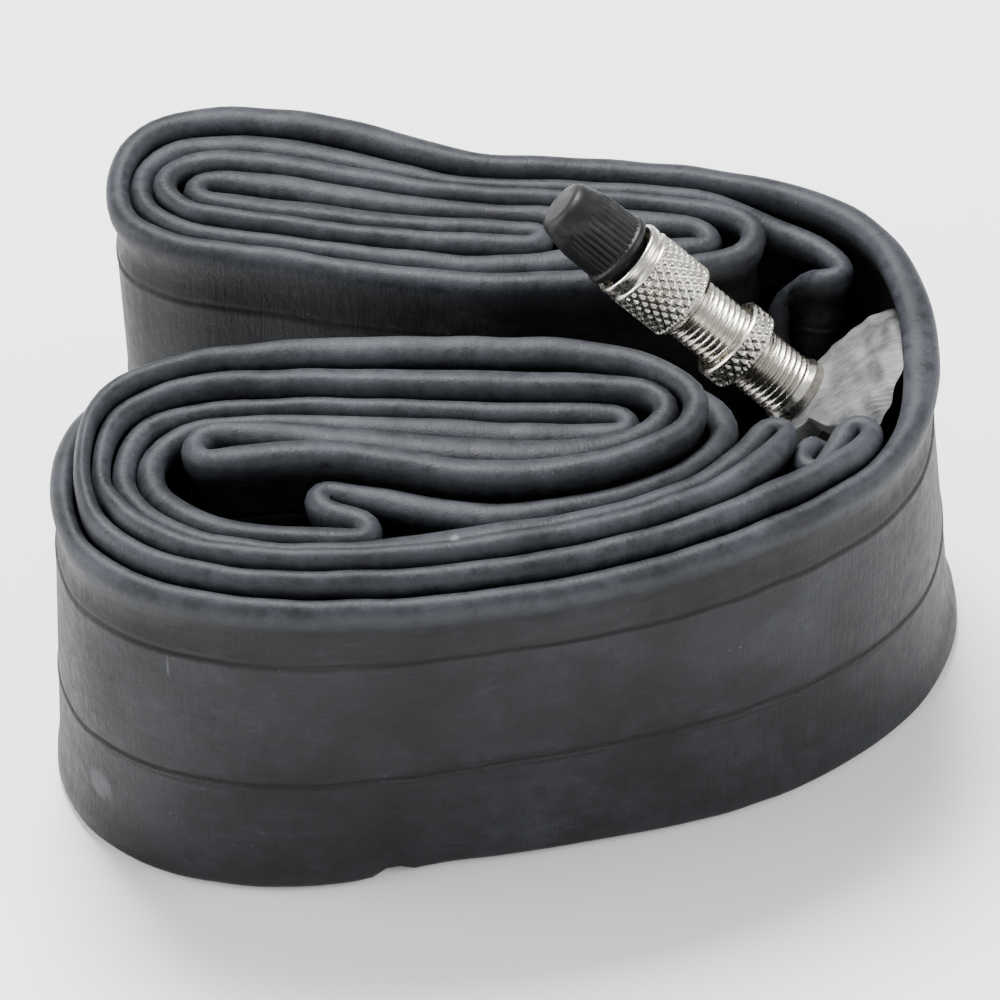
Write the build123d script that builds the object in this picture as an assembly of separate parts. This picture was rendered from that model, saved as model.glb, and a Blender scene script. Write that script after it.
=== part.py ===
from build123d import *
from math import atan2, tan
import os

os.makedirs("parts", exist_ok=True)

# A bicycle inner tube, flattened and folded for storage, with a threaded metal valve whose
# insert is held in by a union nut.
# Millimetres. The strip of flat tube stands on its edge: its width runs up +Z, and the
# route of its middle line is drawn in plan. The valve leans up and to the left.

# ---- driving sizes: the tube ----
lay_flat_width = 44.0        # height of the strip, standing on edge
wall = 0.9                   # one rubber wall
inner_gap = 0.4              # air left between the two walls
edge_margin = 1.3            # rubber at each folded edge
edge_round = 0.55            # rounding of the folded edges
corner_share = 0.485         # part of the shorter run that each bend uses

# ---- driving sizes: the valve ----
valve_base = Vector(35.4, 8.3, 31.5)      # where the stem leaves its patch
valve_direction = Vector(-0.75, 0.12, 0.65)
patch_radius = 7.5
patch_crown = 4.9            # radius of the patch where it meets the stem
patch_slope = 2.4            # height of the domed top
stem_thread_d = 7.9
stem_pitch = 0.8
thread_depth = 0.35
stem_length = 22.9           # from the patch to the stem's open end
base_ring_d = 8.8
base_ring_length = 1.5
foot_d = 9.4
foot_thickness = 0.8
foot_depth = 1.0             # from the patch surface to the top of the foot
air_hole_d = 2.6
seat_bore_d = 5.2            # upper bore that the insert sits in
seat_depth = 8.0
rim_nut_d = 10.4
rim_nut_length = 3.2
rim_nut_height = 8.4         # from the patch to the nut's near face
union_d = 9.8
union_length = 9.6
union_overlap = 4.9          # length of stem thread inside the union nut
union_web = 1.0
mouth_d = 8.3
insert_flange_d = 6.9
insert_flange_length = 1.0
insert_body_d = 3.6
insert_tip_d = 5.2
insert_tip_length = 9.0      # threaded tip above the flange
insert_hole_d = 2.2
seal_d = 4.8
seal_length = 3.2
plunger_head_d = 1.9
plunger_rod_d = 1.1
plunger_length = 9.0
plunger_travel = 0.8
plunger_seal_length = 0.8
cap_flange_d = 9.4
cap_d = 8.8
cap_tip_d = 6.8
cap_length = 10.4            # beyond the union nut's mouth
cap_neck_d = 6.6
cap_neck_length = 1.8
cap_flange_gap = 0.9         # between the union nut's mouth and the cap's flange
cap_rib_count = 30
cap_rib_depth = 0.25
knurl_count = 28
knurl_depth = 0.3

# ---- clearances ----
thread_clearance = 0.05      # radial, between a nut and the stem's crest
seat_clearance = 0.05        # radial, between the insert's seal and its bore
lift_clearance = 0.06        # radial, inside the cap and round the plunger
face_gap = 0.1               # end clearance between stacked valve pieces

# ---- the route of the strip's middle line, in plan, corner by corner ----
outer_front = [
    (-51.0, -15.5), (-51.0, -25), (-46.8, -34.6), (-38, -41), (-26, -43.5), (-13, -42.8),
    (0, -40.4), (15, -36.5), (27.5, -31.2), (37, -25.1), (44.5, -18.2), (49.2, -10.5)]
outer_right = [
    (51.2, -2), (51.6, 8), (49.4, 17.5), (44.3, 25.8), (36.5, 31.2), (25, 34.9), (12, 36.8)]
outer_back = [(-3, 36.9), (-9, 39.6), (-18, 44), (-29, 46.9), (-38, 46.6), (-44.5, 42.6)]
back_lobe_face = [
    (-46.4, 35), (-45.4, 27), (-38.5, 22.3), (-27, 20.2), (-14, 16.6), (0, 14.4),
    (12, 15.6), (22.5, 18.2), (29.8, 21)]
back_lobe_second = [
    (30.8, 26), (27, 28.5), (13, 30.5), (0, 31.2), (-13, 33.6), (-24, 37.2), (-34, 39),
    (-39.8, 37.4), (-41.2, 32.5), (-37.2, 28), (-27, 25.9), (-13, 23), (4.8, 21.6)]
back_lobe_eye = [
    (5.2, 24.9), (-13, 25.9), (-26, 28.8), (-36, 30.8), (-37.6, 34.2), (-33.5, 35.5),
    (-23, 33.6), (-12, 29.9), (0, 28.2), (14, 27.9), (24.4, 25.9)]
back_lobe_inner = [
    (25.7, 22.6), (12, 20.4), (0, 18.2), (-14, 20.2), (-28, 23.3), (-39.2, 26), (-43.8, 31),
    (-43.4, 38.6), (-38, 42.8), (-29, 42.6), (-17, 39.2), (-5, 34.3), (12, 33.6), (25, 32)]
pleat_above_valve = [(33.5, 29), (39.9, 25.4), (41.9, 21.6), (39.2, 20), (36, 24.2), (33.2, 22.6)]
valve_stretch = [(34.8, 18.9), (42.8, 15), (42.8, 1), (40.6, -5)]
pleat_below_valve = [
    (36.6, -11.6), (33.6, -17), (36, -19.5), (38.8, -14.4), (41.6, -9.8), (45.2, -12.2)]
front_lobe_outer = [
    (41, -17.9), (34.5, -23.3), (25.8, -28.5), (14.2, -33.5), (0, -37.3), (-13, -39.9),
    (-26, -40.8), (-37, -38.3), (-44.8, -32.6), (-48.3, -24.5), (-48.1, -17), (-44.6, -9.8),
    (-35.4, -4.4), (-24, -2.6), (-8, -1.8), (8, -2.2), (17.4, -5)]
front_lobe_crease = [
    (22.8, -10.2), (22, -15.4), (17.2, -19.6), (9, -22.8), (-2, -24), (-11, -22.4),
    (-19, -20.4), (-28, -21.4)]
front_lobe_eye = [
    (-34.6, -21.4), (-34.8, -15.8), (-27, -15.1), (-15, -17.2), (-3, -18.8), (8, -18.7),
    (16.8, -16)]
front_lobe_second = [
    (19.8, -11.2), (16.6, -8), (6, -7.6), (-10, -7.2), (-25, -6.9), (-36.4, -7.6),
    (-43.9, -13), (-45.5, -19.4), (-45.4, -25.4), (-41.2, -31.8), (-35, -36.2), (-25, -38.1),
    (-12, -37.2), (0, -34.3), (13.4, -30.7), (23, -26.7), (29.4, -21.2)]
front_lobe_third = [
    (33.2, -11.8), (29.9, -10.7), (28, -17.4), (22.4, -23.5), (13, -27.8), (0, -31.4),
    (-12, -34.6), (-25, -35.4), (-33.6, -33.6), (-39.4, -29.6), (-42.7, -24.6),
    (-42.8, -18.8), (-40.6, -13.4), (-34, -10.4), (-20, -9.7), (-5, -10.4), (14.6, -10.7)]
front_lobe_nose = [
    (14.8, -13.9), (0, -13.8), (-12, -12.9), (-26, -12.3), (-35.2, -13.3), (-39.8, -18.6),
    (-39.4, -24.6), (-34.2, -30.2), (-25, -32.7)]
front_lobe_fold = [
    (-14.4, -32), (-14.6, -28.8), (-20.6, -26.8), (-20.4, -23.5), (-12, -25.2),
    (-2, -27.6), (9, -26), (19.4, -21.8), (25.2, -15.6)]
front_lobe_back = [
    (26, -9), (19.6, -2.2), (8, 0.6), (-8, 1), (-24, 0.4), (-37, -1.9), (-47.2, -8.2)]
route = (
    outer_front + outer_right + outer_back + back_lobe_face + back_lobe_second
    + back_lobe_eye + back_lobe_inner + pleat_above_valve + valve_stretch
    + pleat_below_valve + front_lobe_outer + front_lobe_crease + front_lobe_eye
    + front_lobe_second + front_lobe_third + front_lobe_nose + front_lobe_fold
    + front_lobe_back)

strip_thickness = 2 * wall + inner_gap


def bends(points):
    """For each corner: where its bend starts, its middle and its end, and their normals."""
    found = []
    for i, corner in enumerate(points):
        here = Vector(*corner)
        arriving = here - Vector(*points[i - 1])
        leaving = Vector(*points[(i + 1) % len(points)]) - here
        reach = corner_share * min(arriving.length, leaving.length)
        run_in, run_out = arriving.normalized(), leaving.normalized()
        side_in, side_out = (Vector(-d.Y, d.X) for d in (run_in, run_out))
        turn = atan2(run_in.cross(run_out).Z, run_in.dot(run_out))
        radius = reach / tan(turn / 2)
        start, end = here - run_in * reach, here + run_out * reach
        side_mid = (side_in + side_out).normalized()
        middle = start + side_in * radius - side_mid * radius
        found.append(((start, side_in), (middle, side_mid), (end, side_out)))
    return found


def loop(offset):
    """The closed route moved sideways by offset: an arc at each corner, straight runs between."""
    arcs = [[p + side * offset for p, side in bend] for bend in bends(route)]
    edges = []
    for i, (start, middle, end) in enumerate(arcs):
        edges.append(Edge.make_line(arcs[i - 1][2], start))
        edges.append(Edge.make_three_point_arc(start, middle, end))
    return Wire(edges)


def band(half_thickness):
    """The ring-shaped face between the route moved to its left and to its right."""
    wires = [loop(half_thickness), loop(-half_thickness)]
    wires.sort(key=lambda w: Face(w).area)
    face = Face(wires[1], [wires[0]])
    return face if face.normal_at().Z > 0 else -face


def strip():
    """The flattened tube, with its thin air space inside."""
    body = extrude(band(strip_thickness / 2), lay_flat_width)
    rims = body.edges().filter_by(lambda e: abs(e.bounding_box().size.Z) < 1e-6)
    body = fillet(rims, edge_round)
    air = extrude(band(inner_gap / 2), lay_flat_width - 2 * edge_margin)
    return body - Pos(0, 0, edge_margin) * air


valve_axis = valve_direction.normalized()
valve_plane = Plane(origin=valve_base, x_dir=Vector(0, 0, 1).cross(valve_axis), z_dir=valve_axis)


def turned(profile):
    """A turned piece: (radius, height along the valve) corners spun round the valve's axis."""
    outline = Polyline(*[(r, 0, s) for r, s in profile], close=True)
    return revolve(make_face(outline), Axis.Z)


def placed(piece):
    """A valve piece moved from the workbench to its place on the tube."""
    return valve_plane * piece


def thread_teeth(radius, depth, start, end):
    """Corners of a saw-tooth thread form from start to end, pitch by pitch."""
    count = int((end - start) / stem_pitch)
    pitch = (end - start) / count
    corners = []
    for k in range(count):
        low = start + k * pitch
        corners += [(radius - depth, low), (radius, low + pitch / 2)]
    return corners + [(radius - depth, end)]


def knurled(piece, radius, low, high):
    """Upright V grooves cut round a nut between two heights."""
    groove = extrude(RegularPolygon(knurl_depth, 4), high - low)
    grooves = [Rot(0, 0, 360 * k / knurl_count) * Pos(radius, 0, low) * groove
               for k in range(knurl_count)]
    return piece - grooves


# heights along the valve, worked out from the sizes above
foot_top = -foot_depth
foot_bottom = foot_top - foot_thickness
union_low = stem_length - union_overlap
union_high = union_low + union_length
flange_low = stem_length
flange_high = flange_low + insert_flange_length
web_low = flange_high + face_gap
web_high = web_low + union_web
tip_high = flange_high + insert_tip_length
seal_low = stem_length - seat_depth + 1.2
seal_high = seal_low + seal_length
insert_low = seal_low - 0.6
cap_low = union_high - cap_neck_length
cap_high = union_high + cap_length
cap_flange_low = union_high + cap_flange_gap
cap_shoulder = union_high + 0.5 * cap_length
crest = stem_thread_d / 2
nut_bore = crest + thread_clearance

# ---- tube and patch ----
tube = strip()
filled = extrude(band(strip_thickness / 2), lay_flat_width)
valve_x = valve_stretch[1][0] - strip_thickness / 2
reach_back = (valve_x - valve_base.X + patch_radius) / abs(valve_axis.X) + 1
patch = placed(turned([
    (0, -reach_back), (patch_radius, -reach_back), (patch_radius, -patch_slope),
    (patch_radius - 0.5, -patch_slope * 0.55), (patch_crown + 0.8, -patch_slope * 0.12),
    (patch_crown, 0), (0, 0)]))
beyond = Pos(valve_x + 25, valve_base.Y, lay_flat_width / 2) * Box(50, 60, 3 * lay_flat_width)
patch = (patch - beyond - filled).solids().sort_by(SortBy.VOLUME)[-1]

# ---- stem: foot, base ring, thread, bore ----
teeth = thread_teeth(crest, thread_depth, base_ring_length, stem_length - 0.6)
stem = turned(
    [(air_hole_d / 2, foot_bottom), (foot_d / 2, foot_bottom), (foot_d / 2, foot_top),
     (crest - thread_depth, foot_top), (crest - thread_depth, 0), (base_ring_d / 2, 0),
     (base_ring_d / 2, base_ring_length - 0.3), (base_ring_d / 2 - 0.3, base_ring_length)]
    + teeth
    + [(crest - 0.6, stem_length), (seat_bore_d / 2, stem_length),
       (seat_bore_d / 2, stem_length - seat_depth),
       (air_hole_d / 2, stem_length - seat_depth - 1)])
stem_hull = turned(
    [(0, foot_bottom), (foot_d / 2, foot_bottom), (foot_d / 2, foot_top),
     (crest - thread_depth, foot_top), (crest - thread_depth, 1), (0, 1)])
air_reach = (valve_x + wall + inner_gap / 2 - valve_base.X) / abs(valve_axis.X)
air_hole = placed(Pos(0, 0, -air_reach) * Cylinder(
    air_hole_d / 2, air_reach, align=(Align.CENTER, Align.CENTER, Align.MIN)))
patch = patch - placed(stem_hull) - air_hole
tube = tube - air_hole

# ---- nuts ----
rim_low, rim_high = rim_nut_height, rim_nut_height + rim_nut_length
rim_nut = knurled(turned([
    (nut_bore + 0.3, rim_low), (rim_nut_d / 2 - 0.4, rim_low), (rim_nut_d / 2, rim_low + 0.4),
    (rim_nut_d / 2, rim_high - 0.4), (rim_nut_d / 2 - 0.4, rim_high), (nut_bore + 0.3, rim_high),
    (nut_bore, rim_high - 0.3), (nut_bore, rim_low + 0.3)]), rim_nut_d / 2, rim_low, rim_high)

web_hole = insert_tip_d / 2 + lift_clearance
union_nut = knurled(turned([
    (nut_bore, union_low), (union_d / 2 - 0.6, union_low), (union_d / 2, union_low + 0.7),
    (union_d / 2, union_high - 0.4), (union_d / 2 - 0.3, union_high), (mouth_d / 2, union_high),
    (mouth_d / 2, web_high), (web_hole, web_high), (web_hole, web_low),
    (nut_bore, web_low)]), union_d / 2, union_low + 0.9, union_high - 1.2)

# ---- insert: brass body, rubber seal, plunger and its seal ----
bore = insert_hole_d / 2
tip_teeth = thread_teeth(insert_tip_d / 2, 0.25, web_high + 0.2, tip_high - 0.4)
insert = turned(
    [(bore, insert_low), (seal_d / 2, insert_low), (seal_d / 2, seal_low),
     (insert_body_d / 2, seal_low), (insert_body_d / 2, seal_high), (seal_d / 2, seal_high),
     (seal_d / 2, flange_low), (insert_flange_d / 2, flange_low),
     (insert_flange_d / 2, flange_high), (insert_tip_d / 2 - 0.25, flange_high)]
    + tip_teeth + [(bore + 0.4, tip_high), (bore, tip_high - 0.4)])
seal = turned([
    (insert_body_d / 2, seal_low), (seal_d / 2, seal_low),
    (seat_bore_d / 2 - seat_clearance, seal_high - 0.8),
    (seat_bore_d / 2 - seat_clearance, seal_high), (insert_body_d / 2, seal_high)])

plunger_high = insert_low + plunger_length - 3
plunger_low = plunger_high - plunger_length
ring_low = plunger_low + 0.7
ring_high = ring_low + plunger_seal_length
plunger = turned([
    (0, plunger_low), (plunger_head_d / 2, plunger_low), (plunger_head_d / 2, ring_low),
    (plunger_rod_d / 2, ring_low), (plunger_rod_d / 2, plunger_high), (0, plunger_high)])
plunger_seal = turned([
    (plunger_rod_d / 2, ring_low), (plunger_head_d / 2, ring_low),
    (plunger_head_d / 2, ring_high - 0.3), (plunger_rod_d / 2 + 0.15, ring_high),
    (plunger_rod_d / 2, ring_high)])

# ---- dust cap ----
tip_bore = insert_tip_d / 2 + lift_clearance
cap_shell = turned([
    (tip_bore, cap_low), (cap_neck_d / 2, cap_low), (cap_neck_d / 2, cap_flange_low),
    (cap_flange_d / 2, cap_flange_low), (cap_flange_d / 2, cap_flange_low + 0.8),
    (cap_d / 2, cap_flange_low + 0.8), (cap_d / 2, cap_shoulder),
    (cap_tip_d / 2 + 0.7, cap_high - 1.6), (cap_tip_d / 2, cap_high - 0.7),
    (cap_tip_d / 2 - 1.2, cap_high), (0, cap_high), (0, tip_high + 0.8),
    (tip_bore, tip_high + 0.4)])
slot = extrude(RegularPolygon(cap_rib_depth, 4), cap_shoulder - cap_flange_low - 1)
slots = [Rot(0, 0, 360 * k / cap_rib_count) * Pos(cap_d / 2, 0, cap_flange_low + 1) * slot
         for k in range(cap_rib_count)]
cap = cap_shell - slots

# ---- everything moves so that the loop stands centred on the origin ----
span = tube.bounding_box()
centred = Pos(-span.center().X, -span.center().Y, 0)
pieces = {
    "butyl_tube": tube, "valve_patch": patch, "valve_stem": placed(stem),
    "rim_nut": placed(rim_nut), "union_nut": placed(union_nut),
    "valve_insert": placed(insert), "insert_seal": placed(seal),
    "check_plunger": placed(plunger), "plunger_seal": placed(plunger_seal),
    "dust_cap": placed(cap)}
for name, piece in pieces.items():
    export_step(centred * piece, f"parts/{name}.step")

route_length = sum(e.length for e in loop(0).edges())
print("loop length", round(route_length, 1), "centre", span.center())
print("valve base", centred * Pos(valve_base), "axis", valve_axis)
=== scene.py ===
import math

import bpy
import numpy as np
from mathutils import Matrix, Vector


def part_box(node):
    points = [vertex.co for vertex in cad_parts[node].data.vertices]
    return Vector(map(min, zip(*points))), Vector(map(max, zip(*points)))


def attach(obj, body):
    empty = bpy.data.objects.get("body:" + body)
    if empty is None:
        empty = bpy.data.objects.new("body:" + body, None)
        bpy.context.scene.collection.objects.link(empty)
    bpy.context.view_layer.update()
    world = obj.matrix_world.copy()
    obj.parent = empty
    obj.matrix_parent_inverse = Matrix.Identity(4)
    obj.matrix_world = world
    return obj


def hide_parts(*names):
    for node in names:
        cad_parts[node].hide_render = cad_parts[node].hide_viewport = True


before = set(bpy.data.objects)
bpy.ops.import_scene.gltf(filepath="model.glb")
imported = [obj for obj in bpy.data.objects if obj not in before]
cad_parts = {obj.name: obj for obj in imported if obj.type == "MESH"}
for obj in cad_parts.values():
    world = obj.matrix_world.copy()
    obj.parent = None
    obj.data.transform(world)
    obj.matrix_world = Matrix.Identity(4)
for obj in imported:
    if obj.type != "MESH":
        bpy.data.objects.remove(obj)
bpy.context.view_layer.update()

rng = np.random.default_rng(7)
mm = 0.001

# The middle line of the flat tube seen from above, in millimetres, corner by corner.
# Each stretch also says how far its upper edge stands above the common height (lift)
# and how wide its folded edge may grow on a side that is free (bead).
stretches = [
    {"name": "outerFront", "bead": 1.5, "lift": 0.0, "points": [
        (-51.0, -15.5), (-51.0, -25), (-46.8, -34.6), (-38, -41), (-26, -43.5), (-13, -42.8),
        (0, -40.4), (15, -36.5), (27.5, -31.2), (37, -25.1), (44.5, -18.2), (49.2, -10.5)]},
    {"name": "outerRight", "bead": 2.3, "lift": 0.6, "points": [
        (51.2, -2), (51.6, 8), (49.4, 17.5), (44.3, 25.8), (36.5, 31.2), (25, 34.9), (12, 36.8)]},
    {"name": "outerBack", "bead": 2.2, "lift": 1.2, "points": [
        (-3, 36.9), (-9, 39.6), (-18, 44), (-29, 46.9), (-38, 46.6), (-44.5, 42.6)]},
    {"name": "backLobeFace", "bead": 1.65, "lift": 0.0, "points": [
        (-46.4, 35), (-45.4, 27), (-38.5, 22.3), (-27, 20.2), (-14, 16.6), (0, 14.4),
        (12, 15.6), (22.5, 18.2), (29.8, 21)]},
    {"name": "backLobeSecond", "bead": 1.65, "lift": 0.6, "points": [
        (30.8, 26), (27, 28.5), (13, 30.5), (0, 31.2), (-13, 33.6), (-24, 37.2), (-34, 39),
        (-39.8, 37.4), (-41.2, 32.5), (-37.2, 28), (-27, 25.9), (-13, 23), (4.8, 21.6)]},
    {"name": "backLobeEye", "bead": 1.65, "lift": 0.2, "points": [
        (5.2, 24.9), (-13, 25.9), (-26, 28.8), (-36, 30.8), (-37.6, 34.2), (-33.5, 35.5),
        (-23, 33.6), (-12, 29.9), (0, 28.2), (14, 27.9), (24.4, 25.9)]},
    {"name": "backLobeInner", "bead": 1.65, "lift": -0.2, "points": [
        (25.7, 22.6), (12, 20.4), (0, 18.2), (-14, 20.2), (-28, 23.3), (-39.2, 26), (-43.8, 31),
        (-43.4, 38.6), (-38, 42.8), (-29, 42.6), (-17, 39.2), (-5, 34.3), (12, 33.6), (25, 32)]},
    {"name": "pleatAboveValve", "bead": 1.65, "lift": -2.6, "points": [
        (33.5, 29), (39.6, 24.8), (41.6, 20.6), (38.9, 19.2), (34.7, 24.6)]},
    {"name": "valveStretch", "bead": 1.65, "lift": -17.0, "points": [
        (33.2, 22.4), (34.8, 18.2), (42.8, 14.6), (42.8, 1), (40.6, -5)]},
    {"name": "pleatBelowValve", "bead": 1.65, "lift": -0.6, "points": [
        (36.6, -11.6), (33.6, -17), (36, -19.5), (38.6, -14.6), (40.4, -10.4), (43.3, -12.2)]},
    {"name": "frontLobeOuter", "bead": 1.65, "lift": 1.8, "points": [
        (41, -17.9), (34.5, -23.3), (25.8, -28.5), (14.2, -33.5), (0, -37.3), (-13, -39.9),
        (-26, -40.8), (-37, -38.3), (-44.8, -32.6)]},
    {"name": "frontLobeRing", "bead": 1.65, "lift": 4.0, "points": [
        (-48.3, -24.5), (-48.1, -17), (-44.6, -9.8), (-35.4, -4.4), (-24, -2.6), (-8, -1.8),
        (8, -2.2), (17.4, -5)]},
    {"name": "frontLobeCrease", "bead": 1.65, "lift": 3.6, "points": [
        (22.8, -10.2), (22, -15.4), (17.2, -19.6), (9, -22.8), (-2, -24), (-11, -22.4),
        (-19, -20.4), (-28, -21.4)]},
    {"name": "frontLobeEye", "bead": 1.65, "lift": 2.2, "points": [
        (-34.6, -21.4), (-34.8, -15.8), (-27, -15.1), (-15, -17.2), (-3, -18.8), (8, -18.7),
        (16.8, -16)]},
    {"name": "frontLobeSecond", "bead": 1.65, "lift": 2.8, "points": [
        (19.8, -11.2), (16.6, -8), (6, -7.6), (-10, -7.2), (-25, -6.9), (-36.4, -7.6),
        (-43.9, -13), (-45.5, -19.4), (-45.4, -25.4), (-41.2, -31.8), (-35, -36.2), (-25, -38.1),
        (-12, -37.2), (0, -34.3), (13.4, -30.7), (23, -26.7), (29.4, -21.2)]},
    {"name": "frontLobeThird", "bead": 1.65, "lift": 1.2, "points": [
        (33.4, -14.2), (30.7, -13.0), (28.2, -17.9), (22.4, -23.5), (13, -27.8), (0, -31.4),
        (-12, -34.6), (-25, -35.4), (-33.6, -33.6), (-39.4, -29.6), (-42.7, -24.6),
        (-42.8, -18.8), (-40.6, -13.4), (-34, -10.4), (-20, -9.7), (-5, -10.4), (14.6, -10.7)]},
    {"name": "frontLobeNose", "bead": 1.65, "lift": 0.9, "points": [
        (14.8, -13.9), (0, -13.8), (-12, -12.9), (-26, -12.3), (-35.2, -13.3), (-39.8, -18.6),
        (-39.4, -24.6), (-34.2, -30.2), (-25, -32.7)]},
    {"name": "frontLobeFold", "bead": 1.65, "lift": 0.6, "points": [
        (-14.4, -32), (-14.6, -28.8), (-20.6, -26.8), (-20.4, -23.5), (-12, -25.2),
        (-2, -27.6), (9, -26), (19.4, -21.8), (25.2, -15.6)]},
    {"name": "frontLobeBack", "bead": 1.65, "lift": -1.0, "points": [
        (26, -9), (19.6, -2.2), (8, 0.6), (-8, 1), (-24, 0.4), (-37, -1.9), (-47.2, -8.2)]},
]

tubeLook = {
    "width": 44.0,            # height of the strip on edge, mm
    "web": 1.0,               # half thickness of the flat part
    "beadMax": 2.35,          # largest half width of a folded edge
    "beadHigh": 1.75,         # half height of a folded edge
    "shoulder": 1.9,          # how far the folded edge runs out into the flat
    "seamHigh": 8.9,          # upper mould seam, below the upper edge
    "seamMid": 27.2,          # middle mould seam, below the upper edge
    "seamDepth": 0.16,
    "coarseStep": 1.6,
    "fineStep": 0.42,
    "bendShare": 0.485,
}


# Straight runs between corners, and at each corner an arc that uses a share of the shorter run.
def filletRoute(points, share):
    found, owner = [], []
    for i in range(len(points)):
        before, here, after = points[i - 1], points[i], points[(i + 1) % len(points)]
        runIn, runOut = here - before, after - here
        lengthIn, lengthOut = np.hypot(*runIn), np.hypot(*runOut)
        runIn, runOut = runIn / lengthIn, runOut / lengthOut
        turn = math.atan2(runIn[0] * runOut[1] - runIn[1] * runOut[0], runIn @ runOut)
        reach = share * min(lengthIn, lengthOut)
        radius = reach / math.tan(abs(turn) / 2)
        side = math.copysign(1.0, turn)
        start = here - runIn * reach
        centre = start + side * radius * np.array([-runIn[1], runIn[0]])
        count = max(3, int(abs(turn) * radius / 0.3))
        angle = side * np.linspace(0, abs(turn), count)
        arm = start - centre
        arc = np.stack([
            centre[0] + np.cos(angle) * arm[0] - np.sin(angle) * arm[1],
            centre[1] + np.sin(angle) * arm[0] + np.cos(angle) * arm[1]], 1)
        found.append(arc)
        owner.append(np.full(count, i))
    return np.vstack(found), np.concatenate(owner)


# Linear reading of values that repeat once round the loop.
def alongLoop(values, lengths, total, where):
    knots = np.concatenate([lengths - total, lengths, lengths + total])
    return np.interp(where, knots, np.concatenate([values, values, values]))


# Each value becomes the mean of its neighbours round the loop, weighted by a bell curve.
def smoothLoop(values, sigma):
    reach = int(3 * sigma) + 1
    offsets = np.arange(-reach, reach + 1)
    weights = np.exp(-0.5 * (offsets / sigma) ** 2)
    weights /= weights.sum()
    padded = np.concatenate([values[-reach:], values, values[:reach]])
    return np.convolve(padded, weights, mode="valid")


# A sum of sines that close round the loop, with random phases: a gentle unevenness.
def waves(where, total, count, longest, size):
    swing = np.zeros_like(where)
    base = max(1, int(total / longest))
    for k in range(count):
        turns = base + int(rng.integers(0, 2 + 2 * k * base))
        height = rng.uniform(0.4, 1.0)
        swing += height * np.sin(2 * np.pi * turns * where / total + rng.uniform(0, 6.28))
    return size * swing / count ** 0.5


# Stations along the loop: close together in tight bends, wide apart on straight runs.
def layRoute():
    look = tubeLook
    points = np.array([p for s in stretches for p in s["points"]], float)
    lifts = np.array([s["lift"] for s in stretches for p in s["points"]], float)
    beads = np.array([s["bead"] for s in stretches for p in s["points"]], float)
    line, owner = filletRoute(points, look["bendShare"])
    gaps = np.hypot(*(np.roll(line, -1, 0) - line).T)
    keep = gaps > 1e-9
    line, owner, gaps = line[keep], owner[keep], gaps[keep]
    lengths = np.concatenate([[0], np.cumsum(gaps)[:-1]])
    total = gaps.sum()
    fine = 0.25
    count = int(total / fine)
    where = np.arange(count) * total / count
    x = smoothLoop(alongLoop(line[:, 0], lengths, total, where), 2.2)
    y = smoothLoop(alongLoop(line[:, 1], lengths, total, where), 2.2)
    lift = smoothLoop(smoothLoop(alongLoop(lifts[owner], lengths, total, where), 10.0), 10.0)
    bead = smoothLoop(alongLoop(beads[owner], lengths, total, where), 14.0)
    dx, dy = (np.roll(v, -1) - np.roll(v, 1) for v in (x, y))
    heading = np.unwrap(np.arctan2(dy, dx))
    bend = (np.roll(heading, -2) - np.roll(heading, 2))
    bend = (bend + np.pi) % (2 * np.pi) - np.pi
    bend = smoothLoop(bend / (4 * fine), 2.0)
    step = np.clip(0.3 / np.maximum(np.abs(bend), 1e-6), look["fineStep"], look["coarseStep"])
    step = smoothLoop(step, 6.0)
    crowd = np.concatenate([[0], np.cumsum(fine / step)])
    stations = int(crowd[-1])
    pick = np.interp(np.arange(stations) * crowd[-1] / stations, crowd, np.arange(count + 1))
    where = pick * total / count
    grid = np.arange(count) * total / count
    read = [alongLoop(v, grid, total, where) for v in (x, y, lift, bend, bead)]
    dx, dy = (alongLoop(v, grid, total, where) for v in (dx, dy))
    size = np.hypot(dx, dy)
    normal = np.stack([-dy / size, dx / size], 1)
    return where, total, np.stack(read[:2], 1), read[2], read[3], read[4], normal


# Half the distance from each station to the next layer on one side of the strip.
def sideRoom(line, normal, where, total, sign):
    apart = line[None] - line[:, None]
    along = np.abs(where[None] - where[:, None])
    along = np.minimum(along, total - along)
    forward = sign * (apart * normal[:, None]).sum(2)
    sideways = np.abs(apart[:, :, 0] * normal[:, None, 1] - apart[:, :, 1] * normal[:, None, 0])
    ok = (forward > 0.5) & (sideways < 1.6) & (along > 4.5)
    return np.where(ok, forward, 99.0).min(1) / 2


# How the standing strips lean: a shift in plan that depends on height and fades with distance.
def leanField(x, y, z):
    high = z / tubeLook["width"]
    frontFade = np.exp(-((x - 8) / 26) ** 2) * np.clip((-2 - y) / 38, 0, 1) ** 1.3
    y = y - 4.6 * (high - 0.62) * frontFade
    rightFade = np.exp(-((y - 6) / 22) ** 2)
    outer = 1 / (1 + np.exp(-(x - 45.0) / 1.5))
    x = x - 5.2 * (high - 0.5) * outer * rightFade
    x = x + 1.7 * high * np.exp(-((x + 51.5) / 5) ** 2) * np.exp(-((y + 20) / 15) ** 2)
    leftFade = np.exp(-((x + 50) / 9) ** 2) * np.clip((y - 12) / 14, 0, 1)
    x = x + 1.6 * (1 - high) * leftFade
    front = np.clip((-36 - y) / 5, 0, 1) * np.clip(1 - z / 18, 0, 1)
    dent = np.exp(-((x + 12.4) / 1.5) ** 2) + 0.8 * np.exp(-((x + 6) / 7) ** 2)
    y = y + 1.5 * dent * front
    return x, y


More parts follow.
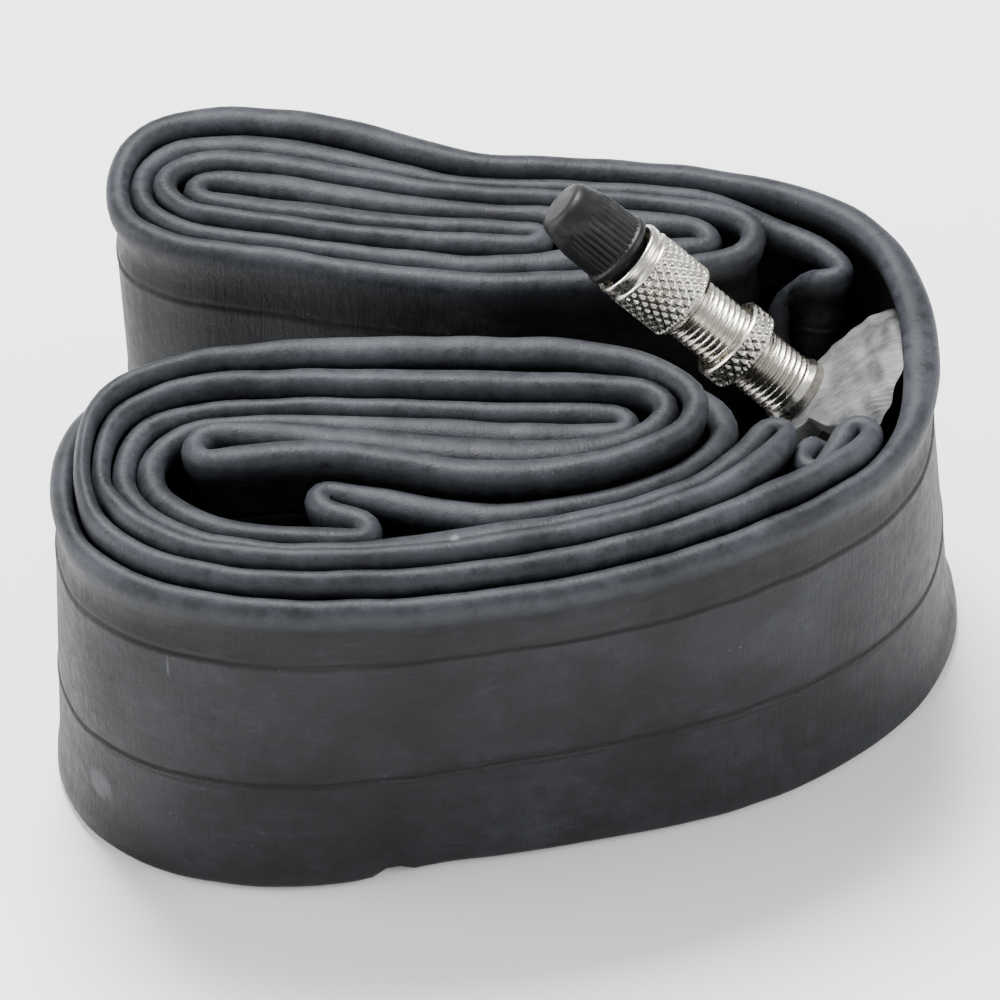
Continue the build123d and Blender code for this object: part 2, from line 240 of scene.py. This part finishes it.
# Corners round the strip: (part, angle or depth). Caps are half circles, faces run between them.
def tubeProfile():
    look = tubeLook
    depths = [0.5, 1.1, 1.8, 2.6, 3.6, 5.0, 6.8]
    for seam in (look["seamHigh"], look["seamMid"]):
        depths += [seam - 0.9, seam - 0.34, seam - 0.12, seam + 0.12, seam + 0.34, seam + 0.9]
    depths += [13.0, 18.0, 22.5, 31.5, 36.0, 37.9, 39.1, 40.0, 40.6]
    return np.array(sorted(depths)), np.linspace(0, np.pi, 13), np.linspace(np.pi, 2 * np.pi, 11)


# Profile carried along the loop: each station's outline is a flat web between two folded edges.
def tubeMesh():
    look = tubeLook
    where, total, line, lift, bend, free, normal = layRoute()
    roomLeft = sideRoom(line, normal, where, total, 1) - 0.02
    roomRight = sideRoom(line, normal, where, total, -1) - 0.02
    beadLeft = np.where(roomLeft > 5, free, np.minimum(roomLeft, look["beadMax"]))
    beadRight = np.where(roomRight > 5, free, np.minimum(roomRight, look["beadMax"]))
    tightLeft = np.where(bend > 0.02, 0.8 / np.maximum(bend, 0.02), 9)
    tightRight = np.where(bend < -0.02, 0.8 / np.maximum(-bend, 0.02), 9)
    stretched = 1 - 0.35 * np.clip(np.abs(bend) * 6, 0, 1)
    beadLeft = np.minimum(np.minimum(beadLeft, look["beadMax"] * stretched), tightLeft)
    beadRight = np.minimum(np.minimum(beadRight, look["beadMax"] * stretched), tightRight)
    beadLeft = np.maximum(smoothLoop(beadLeft, 2.0), 0.8)
    beadRight = np.maximum(smoothLoop(beadRight, 2.0), 0.8)
    lift = lift + waves(where, total, 6, 60.0, 0.15)
    top = look["width"] + lift
    foot = np.maximum(lift, 0) * 0.8
    waver = waves(where, total, 5, 90.0, 0.28)

    depths, capAngles, footAngles = tubeProfile()
    high = look["beadHigh"]
    webLeft = np.minimum(look["web"], beadLeft)
    webRight = np.minimum(look["web"], beadRight)
    rows = []                                   # each row: offset along the normal, height
    for angle in capAngles:
        side = np.where(math.cos(angle) >= 0, beadRight, beadLeft)
        rise = high * np.sin(angle) ** 0.9 if 0 < angle < np.pi else 0
        rows.append((-np.cos(angle) * side, top - high + rise))
    scale = (top - foot - 2 * high) / (look["width"] - 2 * high)
    seams = np.array([look["seamHigh"], look["seamMid"]])

    # Half thickness at a depth below the edge: web, plus the folded edge, plus the seam's groove.
    def face(depth, bead, web):
        below = np.maximum(depth, 0)
        fromFoot = look["width"] - 2 * high - depth
        swell = np.exp(-0.5 * (below / look["shoulder"]) ** 2)
        swellFoot = np.exp(-0.5 * (np.maximum(fromFoot, 0) / look["shoulder"]) ** 2)
        shadedHollow = 0.62 * np.exp(-0.5 * ((below - 4.0) / 1.5) ** 2)
        groove = 0
        for seam in seams:
            away = depth + high - seam
            lip = 0.9 * np.exp(-0.5 * ((away - 0.34) / 0.2) ** 2)
            groove = groove + look["seamDepth"] * (lip - 1.25 * np.exp(-0.5 * (away / 0.14) ** 2))
        return web + (bead - web) * (swell + 0.8 * swellFoot) - shadedHollow + groove

    leftRows, rightRows = [], []
    for depth in depths:
        level = depth - high + (waver if 5 < depth < 36 else 0)
        z = top - high - level * scale
        leftRows.append((face(depth - high, beadLeft, webLeft), z))
        rightRows.append((-face(depth - high, beadRight, webRight), z))
    footRows = []
    for angle in footAngles[1:-1]:
        side = np.where(math.cos(angle) >= 0, beadRight, beadLeft)
        thick = np.where(math.cos(angle) >= 0, webRight, webLeft)
        reach = thick + (side - thick) * 0.8
        footRows.append((-np.cos(angle) * reach, foot + high + high * np.sin(angle)))
    faceStart = [i for i, d in enumerate(depths) if d > high + 0.2]
    leftRows = [leftRows[i] for i in faceStart]
    rightRows = [rightRows[i] for i in faceStart]
    ring = rows + leftRows + footRows + rightRows[::-1]
    offset = np.stack([np.broadcast_to(r[0], where.shape) for r in ring], 1)
    z = np.stack([np.broadcast_to(r[1], where.shape) for r in ring], 1)
    x = line[:, :1] + normal[:, :1] * offset
    y = line[:, 1:] + normal[:, 1:] * offset
    wander = waves(where, total, 7, 45.0, 0.045)[:, None]
    x, y = x + normal[:, :1] * wander, y + normal[:, 1:] * wander
    x, y = leanField(x, y, z)
    depth = top[:, None] - z
    return np.stack([x, y, z], 2), where, depth


# The strips stand where the CAD tube stands: its box is centred on the origin.
def tubeShift():
    low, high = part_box("butyl_tube")
    _, _, line, *_ = layRoute()
    return ((low.x + high.x) / 2 / mm - (line[:, 0].min() + line[:, 0].max()) / 2,
            (low.y + high.y) / 2 / mm - (line[:, 1].min() + line[:, 1].max()) / 2)



# A grid of points (rows u, columns v, in millimetres) becomes quads, each from four neighbours.
# Columns always close; rows close where asked.
def gridMesh(name, points, closeU=True, uv=None, flip=False):
    rows, columns = points.shape[:2]
    index = np.arange(rows * columns).reshape(rows, columns)
    u = np.arange(rows if closeU else rows - 1)
    v = np.arange(columns)
    a = index[np.ix_(u, v)]
    b = index[np.ix_((u + 1) % rows, v)]
    c = index[np.ix_((u + 1) % rows, (v + 1) % columns)]
    d = index[np.ix_(u, (v + 1) % columns)]
    quads = np.stack([a, b, c, d], 2).reshape(-1, 4)
    if flip:
        quads = quads[:, ::-1]
    mesh = bpy.data.meshes.new(name)
    mesh.from_pydata((points.reshape(-1, 3) * mm).tolist(), [], quads.tolist())
    if uv is not None:
        layer = mesh.uv_layers.new(name="along")
        corners = uv.reshape(-1, 2)[quads.reshape(-1)]
        layer.data.foreach_set("uv", corners.astype(np.float32).ravel())
    mesh.polygons.foreach_set("use_smooth", np.ones(len(quads), bool))
    mesh.update()
    piece = bpy.data.objects.new(name, mesh)
    bpy.context.scene.collection.objects.link(piece)
    return piece



# A new material with its node tree, links and shader.
def newMaterial(name):
    material = bpy.data.materials.new(name)
    material.use_nodes = True
    nodes, links = material.node_tree.nodes, material.node_tree.links
    return material, nodes, links, nodes["Principled BSDF"]


# Blend of two colours by a factor socket.
def mixColour(nodes, links, factor, first, second):
    mix = nodes.new("ShaderNodeMix")
    mix.data_type = "RGBA"
    links.new(factor, mix.inputs["Factor"])
    for socket, value in ((mix.inputs["A"], first), (mix.inputs["B"], second)):
        if isinstance(value, tuple):
            socket.default_value = (*value, 1)
        else:
            links.new(value, socket)
    return mix.outputs["Result"]


# Linear change of range, clamped.
def remap(nodes, links, source, low, high, toLow=0.0, toHigh=1.0):
    node = nodes.new("ShaderNodeMapRange")
    node.inputs["From Min"].default_value = low
    node.inputs["From Max"].default_value = high
    node.inputs["To Min"].default_value = toLow
    node.inputs["To Max"].default_value = toHigh
    links.new(source, node.inputs["Value"])
    return node.outputs["Result"]


# One Math node on two sockets or numbers.
def arithmetic(nodes, links, operation, first, second):
    node = nodes.new("ShaderNodeMath")
    node.operation = operation
    for socket, value in zip(node.inputs, (first, second)):
        if isinstance(value, (int, float)):
            socket.default_value = value
        else:
            links.new(value, socket)
    return node.outputs["Value"]


# Fractal noise, its pattern stretched by a Mapping node when asked.
def noise(nodes, links, vector, scale, detail=4.0, roughness=0.55, stretch=None):
    if stretch is not None:
        mapping = nodes.new("ShaderNodeMapping")
        mapping.inputs["Scale"].default_value = stretch
        links.new(vector, mapping.inputs["Vector"])
        vector = mapping.outputs["Vector"]
    node = nodes.new("ShaderNodeTexNoise")
    node.inputs["Scale"].default_value = scale
    node.inputs["Detail"].default_value = detail
    node.inputs["Roughness"].default_value = roughness
    links.new(vector, node.inputs["Vector"])
    return node.outputs["Fac"]


# The height field tilts the shading by its slope.
def addBump(nodes, links, shader, height, strength, distance):
    bump = nodes.new("ShaderNodeBump")
    bump.inputs["Strength"].default_value = strength
    bump.inputs["Distance"].default_value = distance
    links.new(height, bump.inputs["Height"])
    links.new(bump.outputs["Normal"], shader.inputs["Normal"])


rubberLook = {
    "edge": (0.0200, 0.0222, 0.0272),     # folded edges: dusty blue grey
    "face": (0.0062, 0.0066, 0.0078),    # flat faces: darker and more neutral
    "shadedHollow": (0.0022, 0.0023, 0.0026),  # painted shade: the band under the folded edge, darkened in colour
    "dust": (0.085, 0.091, 0.104),
    "chalk": (0.33, 0.34, 0.36),
    "seam": (0.0015, 0.0015, 0.0016),
}
wornMarks = [                            # centre and half sizes in millimetres
    {"centre": (-5.2, -41.0, 43.2), "size": (0.85, 1.8, 2.4), "strength": 0.32},
    {"centre": (-5.2, -36.6, 46.0), "size": (0.8, 1.9, 1.6), "strength": 0.42},
    {"centre": (-2.8, -20.0, 44.5), "size": (0.35, 1.2, 1.6), "strength": 0.5},
    {"centre": (-45.5, -36.5, 9.5), "size": (2.2, 3.0, 2.8), "strength": 0.13},
    {"centre": (-37.2, -42.6, 33.0), "size": (0.26, 1.6, 2.4), "strength": 0.14},
    {"centre": (-34.3, -3.9, 47.0), "size": (0.28, 0.28, 0.5), "strength": 0.9},
    {"centre": (30.5, -30.5, 26.0), "size": (7.0, 4.0, 5.0), "strength": 0.02},
]


# One inside an ellipsoid, falling to zero over its outer third.
def ellipsoidMask(nodes, links, place, mark):
    mapping = nodes.new("ShaderNodeMapping")
    mapping.vector_type = "TEXTURE"
    mapping.inputs["Location"].default_value = [v * mm for v in mark["centre"]]
    mapping.inputs["Scale"].default_value = [v * mm for v in mark["size"]]
    links.new(place, mapping.inputs["Vector"])
    length = nodes.new("ShaderNodeVectorMath")
    length.operation = "LENGTH"
    links.new(mapping.outputs["Vector"], length.inputs[0])
    return remap(nodes, links, length.outputs["Value"], 0.7, 1.0, mark["strength"], 0.0)


# Butyl rubber: dark faces, dusty folded edges, painted shade in the band under them, blotches, specks, worn
# marks and two moulded seams.
def rubberMaterial():
    look = rubberLook
    material, nodes, links, shader = newMaterial("dustyButyl")
    uvMap = nodes.new("ShaderNodeUVMap")
    uvMap.uv_map = "along"
    along = uvMap.outputs["UV"]
    split = nodes.new("ShaderNodeSeparateXYZ")
    links.new(along, split.inputs["Vector"])
    depth = split.outputs["Y"]                       # depth below the upper edge, in metres
    place = nodes.new("ShaderNodeTexCoord").outputs["Object"]

    # Product of two sockets.
    def times(first, second):
        return arithmetic(nodes, links, "MULTIPLY", first, second)

    blotch = noise(nodes, links, place, 85.0, 6.0, 0.62)
    fine = noise(nodes, links, place, 520.0, 6.0, 0.68)
    grain = noise(nodes, links, place, 3200.0, 3.0, 0.6)
    wide = noise(nodes, links, place, 24.0, 3.0, 0.5)
    rubbed = noise(nodes, links, along, 1.0, 4.0, 0.6, (260.0, 1500.0, 1.0))
    across = noise(nodes, links, along, 1.0, 3.0, 0.55, (1900.0, 130.0, 1.0))

    uneven = arithmetic(nodes, links, "SUBTRACT", blotch, 0.5)
    ragged = arithmetic(nodes, links, "ADD", depth, times(uneven, 0.0022))
    edge = remap(nodes, links, ragged, 0.0012, 0.0034, 1.0, 0.0)
    # Painted shade: the band under the folded edge gets a darker colour, as if shaded by the edge above.
    shadedHollow = times(remap(nodes, links, depth, 0.0026, 0.0044),
                   remap(nodes, links, depth, 0.0078, 0.0098, 1.0, 0.0))
    base = mixColour(nodes, links, edge, look["face"], look["edge"])
    base = mixColour(nodes, links, shadedHollow, base, look["shadedHollow"])
    mottle = arithmetic(nodes, links, "ADD", times(blotch, 1.3), times(fine, 1.1))
    base = mixColour(nodes, links, remap(nodes, links, mottle, 1.30, 0.95, 0.0, 0.55), base, look["seam"])
    bloom = times(remap(nodes, links, blotch, 0.40, 0.68), remap(nodes, links, fine, 0.34, 0.70, 0.15, 1.0))
    bloom = times(bloom, remap(nodes, links, wide, 0.35, 0.65, 0.35, 1.0))
    bloom = times(bloom, remap(nodes, links, edge, 0, 1, 0.20, 0.55))
    base = mixColour(nodes, links, bloom, base, look["dust"])
    wiped = times(remap(nodes, links, rubbed, 0.50, 0.80, 0.0, 0.13), remap(nodes, links, fine, 0.4, 0.6))
    base = mixColour(nodes, links, wiped, base, look["dust"])
    dark = times(remap(nodes, links, across, 0.34, 0.27, 0.0, 0.75),
                 remap(nodes, links, edge, 0, 1, 0.25, 1.0))
    dark = arithmetic(nodes, links, "MAXIMUM", dark, remap(nodes, links, fine, 0.36, 0.27, 0.0, 0.55))
    base = mixColour(nodes, links, dark, base, look["seam"])
    specks = times(remap(nodes, links, grain, 0.69, 0.76, 0.0, 0.45), remap(nodes, links, blotch, 0.42, 0.62))
    marks = specks
    for mark in wornMarks:
        worn = times(ellipsoidMask(nodes, links, place, mark),
                     remap(nodes, links, fine, 0.36, 0.62, 0.3, 1.0))
        marks = arithmetic(nodes, links, "MAXIMUM", marks, worn)
    base = mixColour(nodes, links, marks, base, look["chalk"])

    # A line at a depth: full within half its width, fading over the soft part, with a wavering middle.
    def line(at, half, soft, strength, wobble):
        away = arithmetic(nodes, links, "SUBTRACT", depth, at * mm)
        if wobble:
            sway = arithmetic(nodes, links, "SUBTRACT", fine, 0.5)
            away = arithmetic(nodes, links, "ADD", away, times(sway, wobble))
        away = arithmetic(nodes, links, "ABSOLUTE", away, 0.0)
        return remap(nodes, links, away, half, half + soft, strength, 0.0)

    seam = line(tubeLook["seamHigh"], 0.00012, 0.0003, 0.9, 0.0003)
    lower = arithmetic(nodes, links, "MAXIMUM", line(tubeLook["seamMid"], 0.00008, 0.00025, 0.95, 0.0007),
                       times(line(tubeLook["seamMid"] + 0.95, 0.00008, 0.0003, 0.8, 0.0009),
                             remap(nodes, links, blotch, 0.42, 0.56)))
    seam = arithmetic(nodes, links, "MAXIMUM", seam, lower)
    base = mixColour(nodes, links, seam, base, look["seam"])
    links.new(base, shader.inputs["Base Color"])
    links.new(remap(nodes, links, fine, 0.3, 0.7, 0.44, 0.64), shader.inputs["Roughness"])
    shader.inputs["Specular IOR Level"].default_value = 0.22
    ridge = times(line(tubeLook["seamMid"] + 0.45, 0.00035, 0.0004, 1.0, 0.0),
                  remap(nodes, links, grain, 0.35, 0.65))
    height = arithmetic(nodes, links, "ADD", times(grain, 0.22), times(fine, 0.75))
    height = arithmetic(nodes, links, "ADD", height, times(across, 0.35))
    height = arithmetic(nodes, links, "ADD", height, times(ridge, 0.6))
    addBump(nodes, links, shader, height, 0.45, 0.0004)
    return material


# Plated brass: slight cloudy tarnish, fine turning lines and a little dirt.
def metalMaterial(name, colour, roughLow, roughHigh, stain):
    material, nodes, links, shader = newMaterial(name)
    place = nodes.new("ShaderNodeTexCoord").outputs["Object"]
    cloud = noise(nodes, links, place, 260.0, 5.0, 0.6)
    fine = noise(nodes, links, place, 1900.0, 4.0, 0.6)
    mask = remap(nodes, links, cloud, 0.42, 0.72, 0.0, 0.55)
    links.new(mixColour(nodes, links, mask, colour, stain), shader.inputs["Base Color"])
    links.new(remap(nodes, links, fine, 0.3, 0.7, roughLow, roughHigh), shader.inputs["Roughness"])
    shader.inputs["Metallic"].default_value = 1.0
    addBump(nodes, links, shader, fine, 0.12, 0.0001)
    return material


# Black moulded plastic with grey dust rubbed into it.
def plasticMaterial():
    material, nodes, links, shader = newMaterial("dustyBlackPlastic")
    place = nodes.new("ShaderNodeTexCoord").outputs["Object"]
    cloud = noise(nodes, links, place, 330.0, 6.0, 0.65)
    fine = noise(nodes, links, place, 2400.0, 3.0, 0.6)
    mask = remap(nodes, links, cloud, 0.52, 0.78, 0.0, 0.35)
    links.new(mixColour(nodes, links, mask, (0.0032, 0.0032, 0.0036), (0.085, 0.086, 0.09)),
              shader.inputs["Base Color"])
    links.new(remap(nodes, links, cloud, 0.3, 0.75, 0.40, 0.62), shader.inputs["Roughness"])
    shader.inputs["Specular IOR Level"].default_value = 0.28
    addBump(nodes, links, shader, fine, 0.2, 0.00015)
    return material


# Rubber buffed pale for vulcanising: grey, streaked across the strip.
def buffedMaterial():
    material, nodes, links, shader = newMaterial("buffedRubber")
    place = nodes.new("ShaderNodeTexCoord").outputs["Object"]
    cloud = noise(nodes, links, place, 210.0, 6.0, 0.65)
    scratch = noise(nodes, links, place, 1.0, 5.0, 0.6, (300.0, 2600.0, 500.0))
    tone = arithmetic(nodes, links, "MULTIPLY", remap(nodes, links, cloud, 0.3, 0.7, 0.15, 1.0),
                      remap(nodes, links, scratch, 0.3, 0.7, 0.45, 1.0))
    links.new(mixColour(nodes, links, tone, (0.016, 0.0165, 0.018), (0.27, 0.268, 0.268)),
              shader.inputs["Base Color"])
    links.new(remap(nodes, links, cloud, 0.3, 0.7, 0.36, 0.6), shader.inputs["Roughness"])
    shader.inputs["Specular IOR Level"].default_value = 0.4
    addBump(nodes, links, shader, scratch, 0.4, 0.0003)
    return material


valveLook = {
    "base": (35.18, 6.54, 31.5), "axis": (-0.75, 0.12, 0.65),
    "stemRadius": 3.95, "threadDepth": 0.42, "pitch": 0.82, "stemLength": 22.9,
    "ringRadius": 4.4, "ringLength": 1.5, "boreRadius": 4.0,
    "nutRadius": 5.2, "nutLow": 8.4, "nutHigh": 11.6,
    "unionRadius": 4.9, "unionLow": 18.0, "unionHigh": 27.6,
    "mouthRadius": 4.15, "webLow": 24.0, "webHigh": 25.0, "webHole": 2.66,
    "capNeck": 3.3, "capFlange": 4.7, "capFlangeLow": 28.5, "capRadius": 4.38, "capHigh": 38.0,
    "ribs": 34, "ribDepth": 0.22, "knurls": 26, "knurlDepth": 0.36,
}


# The valve's own axes: two across it, one along it, and the point where the stem leaves the patch.
def valveFrame():
    along = np.array(valveLook["axis"])
    along = along / np.linalg.norm(along)
    across = np.cross([0, 0, 1.0], along)
    across /= np.linalg.norm(across)
    return across, np.cross(along, across), along, np.array(valveLook["base"])


# Points at a radius, an angle and a height along the valve, placed in the model.
def onValve(radius, angle, height):
    across, upward, along, base = valveFrame()
    outward = np.cos(angle)[..., None] * across + np.sin(angle)[..., None] * upward
    return base + radius[..., None] * outward + height[..., None] * along


# A profile of (radius, height) corners, divided finely, spun round the valve; shape changes the radius.
def turnedPiece(name, corners, turns, shape, fine):
    corners = np.array(corners, float)
    found = []
    for start, end in zip(corners, np.roll(corners, -1, 0)):
        count = max(1, int(np.hypot(*(end - start)) / fine))
        found.append(start + (end - start) * np.linspace(0, 1, count, endpoint=False)[:, None])
    line = np.vstack(found)
    angle = np.arange(turns) * 2 * np.pi / turns
    radius = np.repeat(line[:, :1], turns, 1)
    height = np.repeat(line[:, 1:], turns, 1)
    angles = np.repeat(angle[None], len(line), 0)
    return gridMesh(name, onValve(radius + shape(radius, angles, height), angles, height))


# A wave that runs 0, 1, 0 over one turn.
def triangle(phase):
    return 1 - np.abs(2 * (phase % 1) - 1)


# Thread: the radius falls by the thread's depth with the phase of height over pitch less the angle.
def helixThread(outer, depth, pitch, low, high):
    def shape(radius, angle, height):
        wave = np.clip(1.25 * triangle(height / pitch - angle / (2 * np.pi)) - 0.1, 0, 1)
        fade = np.clip((height - low) / 0.3, 0, 1) * np.clip((high - height) / 0.3, 0, 1)
        return np.where(radius > outer - 0.02, -depth * (1 - wave) * fade, 0)
    return shape


# Diamond knurl: two crossing sets of V grooves, right-hand and left-hand.
def diamondKnurl(outer, depth, count, low, high):
    lead = 2 * np.pi * outer / count
    def shape(radius, angle, height):
        turn = angle * count / (2 * np.pi)
        first = triangle(turn + height / lead / 1.5)
        second = triangle(turn - height / lead / 1.5)
        pattern = np.minimum(np.clip(first * 1.5, 0, 1), np.clip(second * 1.5, 0, 1))
        fade = np.clip((height - low) / 0.2, 0, 1) * np.clip((high - height) / 0.2, 0, 1)
        return np.where(radius > outer - 0.02, -depth * (1 - pattern) * fade, 0)
    return shape


# Upright ribs: round-topped, fading out towards the cap's tip.
def ribbedCap(outer, depth, count, low, high):
    def shape(radius, angle, height):
        wave = np.abs(np.sin(angle * count / 2)) ** 0.7
        fade = np.clip((height - low) / 0.4, 0, 1) * np.clip((high - height) / 1.2, 0, 1)
        return np.where(radius > 2.75, -depth * (1 - wave) * fade, 0)
    return shape


# Stem: base ring, threaded shank and a stepped bore, spun from one profile.
def makeStem(material):
    look = valveLook
    r, top = look["stemRadius"], look["stemLength"]
    ring = look["ringRadius"]
    ringHigh = look["ringLength"]
    corners = [(r - 0.4, -2.0), (r - 0.4, -0.4), (ring - 0.2, -0.4), (ring, -0.1), (ring, ringHigh - 0.5),
               (ring - 0.35, ringHigh), (r, ringHigh + 0.15), (r, top - 0.6), (r - 0.6, top),
               (2.6, top), (2.6, top - 8), (1.3, top - 9), (1.3, -2.0)]
    shape = helixThread(r, look["threadDepth"], look["pitch"], ringHigh + 0.2, top - 0.5)
    piece = turnedPiece("valveStem", corners, 96, shape, fine=0.1)
    piece.data.materials.append(material)
    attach(piece, "tube")
    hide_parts("valve_stem")


# Rim nut and union nut: spun profiles with a diamond knurl between the chamfers.
def makeNuts(material):
    look = valveLook
    bore, r = look["boreRadius"], look["nutRadius"]
    low, high = look["nutLow"], look["nutHigh"]
    corners = [(bore + 0.3, low), (r - 0.35, low), (r, low + 0.3), (r, high - 0.3), (r - 0.35, high),
               (bore + 0.3, high), (bore, high - 0.3), (bore, low + 0.3)]
    shape = diamondKnurl(r, look["knurlDepth"], look["knurls"], low + 0.3, high - 0.3)
    nut = turnedPiece("rimNut", corners, 300, shape, fine=0.14)
    nut.data.materials.append(material)
    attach(nut, "nut")
    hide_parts("rim_nut")
    r, low, high = look["unionRadius"], look["unionLow"], look["unionHigh"]
    mouth = look["mouthRadius"]
    corners = [(bore, low), (r - 0.75, low), (r - 0.5, low + 0.12), (r, low + 0.8), (r, high - 2.0),
               (r - 0.3, high - 1.8), (r - 0.3, high - 1.25), (r - 0.05, high - 1.05), (r - 0.05, high - 0.3),
               (r - 0.25, high), (mouth + 0.1, high), (mouth, high - 0.15), (mouth, look["webHigh"]),
               (look["webHole"], look["webHigh"]), (look["webHole"], look["webLow"]), (bore, look["webLow"])]
    shape = diamondKnurl(r, look["knurlDepth"], look["knurls"], low + 0.9, high - 2.1)
    union = turnedPiece("unionNut", corners, 312, shape, fine=0.14)
    union.data.materials.append(material)
    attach(union, "union")
    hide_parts("union_nut")


# Cap: a flange, a ribbed body that narrows to a domed tip, and a hollow neck.
def makeCap(material):
    look = valveLook
    low, high = look["capFlangeLow"], look["capHigh"]
    flange, neck, body = look["capFlange"], look["capNeck"], look["capRadius"]
    corners = [(0.02, high), (2.5, high - 0.05), (3.1, high - 0.25), (3.45, high - 0.75), (3.72, high - 1.7),
               (3.98, high - 2.7), (body - 0.1, high - 4.3), (body, low + 1.9), (body, low + 0.95),
               (flange - 0.08, low + 0.85), (flange, low + 0.7), (flange, low + 0.12), (flange - 0.12, low),
               (neck, low), (neck, low - 2.7), (2.66, low - 2.7), (2.66, low + 4.8), (0.02, low + 5.2)]
    shape = ribbedCap(body, look["ribDepth"], look["ribs"], low + 0.9, high - 2.6)
    piece = turnedPiece("dustCap", corners, 272, shape, fine=0.3)
    piece.data.materials.append(material)
    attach(piece, "cap")
    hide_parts("dust_cap")


patchLook = {
    "crown": 4.0, "narrow": 6.2, "tall": 15.0, "wide": 13.6,
    "bend": 0.0092, "fall": 0.05, "edge": 2.0, "corner": 2.6,
}


# The leaning face round the stem: rings from the stem's foot out to a rim that is wider above it.
# The surface falls away from the stem's own plane with the square of the distance, and drops at its rim.
def makePatch(material):
    look = patchLook
    across, upward, along, base = valveFrame()
    angle = (np.arange(200) * 2 * np.pi / 200)[None]
    rise = np.sin(angle)
    spread = np.clip((rise - 0.30) / 0.34, 0, 1)
    spread = spread * spread * (3 - 2 * spread)
    power = look["corner"]
    far = 1 / ((np.abs(np.cos(angle)) / look["wide"]) ** power
               + (np.abs(rise) / look["tall"]) ** power) ** (1 / power)
    reach = look["narrow"] + (far - look["narrow"]) * spread
    level = np.linspace(0, 1, 60)[:, None]
    radius = look["crown"] + (reach - look["crown"]) * level
    p, q = radius * np.cos(angle), radius * rise
    drop = np.where(q > 0, look["bend"], look["fall"]) * q ** 2 + 0.012 * p ** 2
    rim = np.clip((level - 0.74) / 0.26, 0, 1)
    drop = drop + look["edge"] * rim ** 2.2 * (1.1 - 0.6 * spread * np.clip(rise, 0, 1))
    collar = 0.55 * np.exp(-((radius - look["crown"]) / 0.9) ** 2)
    folds = 0.22 * np.sin(1.1 * p + 0.5 * q) * np.clip((radius - 5) / 3, 0, 1)
    folds = folds + 0.12 * np.sin(2.3 * q - 0.7 * p) * level
    height = -0.45 - drop + collar + folds
    points = base + p[..., None] * across + q[..., None] * upward + height[..., None] * along
    piece = gridMesh("valvePatch", points, closeU=False, flip=True)
    piece.data.materials.append(material)
    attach(piece, "tube")
    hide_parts("valve_patch")


# The folded tube: its outline along the loop, shifted onto the CAD tube, with metres along and below as UV.
def makeTube(material):
    points, where, depth = tubeMesh()
    shiftX, shiftY = tubeShift()
    points = points + np.array([shiftX, shiftY, 0])
    uv = np.stack([np.repeat(where[:, None] * mm, points.shape[1], 1), depth * mm], 2)
    piece = gridMesh("foldedTube", points, uv=uv)
    piece.data.materials.append(material)
    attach(piece, "tube")
    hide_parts("butyl_tube")
    print("tube grid", points.shape, "low", points.min((0, 1)), "high", points.max((0, 1)))


stageLook = {"elevation": 40.0, "distance": 0.620, "lens": 187.92, "sensor": 36.0,
             "targetHeight": 0.022}


# A pale floor, three soft lights and the camera on its arc round the bundle.
def makeStage():
    bpy.ops.mesh.primitive_plane_add(size=4.0, location=(0, 0, 0))
    floor = bpy.context.object
    floor.name = "floor"
    material, _, _, shader = newMaterial("paleFloor")
    shader.inputs["Base Color"].default_value = (0.96, 0.96, 0.96, 1)
    shader.inputs["Roughness"].default_value = 0.9
    floor.data.materials.append(material)
    world = bpy.data.worlds.new("soft")
    bpy.context.scene.world = world
    world.use_nodes = True
    world.node_tree.nodes["Background"].inputs["Color"].default_value = (0.93, 0.96, 1.0, 1)
    world.node_tree.nodes["Background"].inputs["Strength"].default_value = 0.75
    for name, place, size, power in (
            ("topLight", (-0.12, 0.36, 0.78), 0.34, 21.0),
            ("leftLight", (-0.85, -0.05, 0.25), 0.5, 8.0),
            ("rightLight", (0.85, -0.10, 0.35), 0.5, 6.0),
            ("frontLight", (0.0, -0.95, 0.12), 0.6, 4.5)):
        lamp = bpy.data.lights.new(name, "AREA")
        lamp.size = size
        lamp.energy = power
        holder = bpy.data.objects.new(name, lamp)
        holder.location = place
        holder.rotation_euler = (-Vector(place)).to_track_quat("-Z", "Y").to_euler()
        bpy.context.scene.collection.objects.link(holder)
    camera = bpy.data.cameras.new("camera")
    camera.lens = stageLook["lens"]
    camera.sensor_width = stageLook["sensor"]
    camera.clip_start = 0.01
    holder = bpy.data.objects.new("camera", camera)
    shiftX, shiftY = tubeShift()
    angle = math.radians(stageLook["elevation"])
    target = Vector((shiftX * mm, shiftY * mm, stageLook["targetHeight"]))
    holder.location = target + stageLook["distance"] * Vector((0, -math.cos(angle), math.sin(angle)))
    holder.rotation_euler = (math.pi / 2 - angle, 0, 0)
    bpy.context.scene.collection.objects.link(holder)
    bpy.context.scene.camera = holder


makeStage()
print("stage ready")
makeTube(rubberMaterial())
print("tube ready")
nickel = metalMaterial("nickelPlate", (0.74, 0.71, 0.64), 0.16, 0.34, (0.42, 0.36, 0.26))
makeStem(nickel)
makeNuts(nickel)
makeCap(plasticMaterial())
makePatch(buffedMaterial())
brass = metalMaterial("turnedBrass", (0.78, 0.62, 0.32), 0.18, 0.36, (0.45, 0.33, 0.14))
for node in ("valve_insert", "check_plunger"):
    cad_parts[node].data.materials.clear()
    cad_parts[node].data.materials.append(brass)
for node in ("insert_seal", "plunger_seal"):
    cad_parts[node].data.materials.clear()
    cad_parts[node].data.materials.append(buffedMaterial())
print("valve ready")
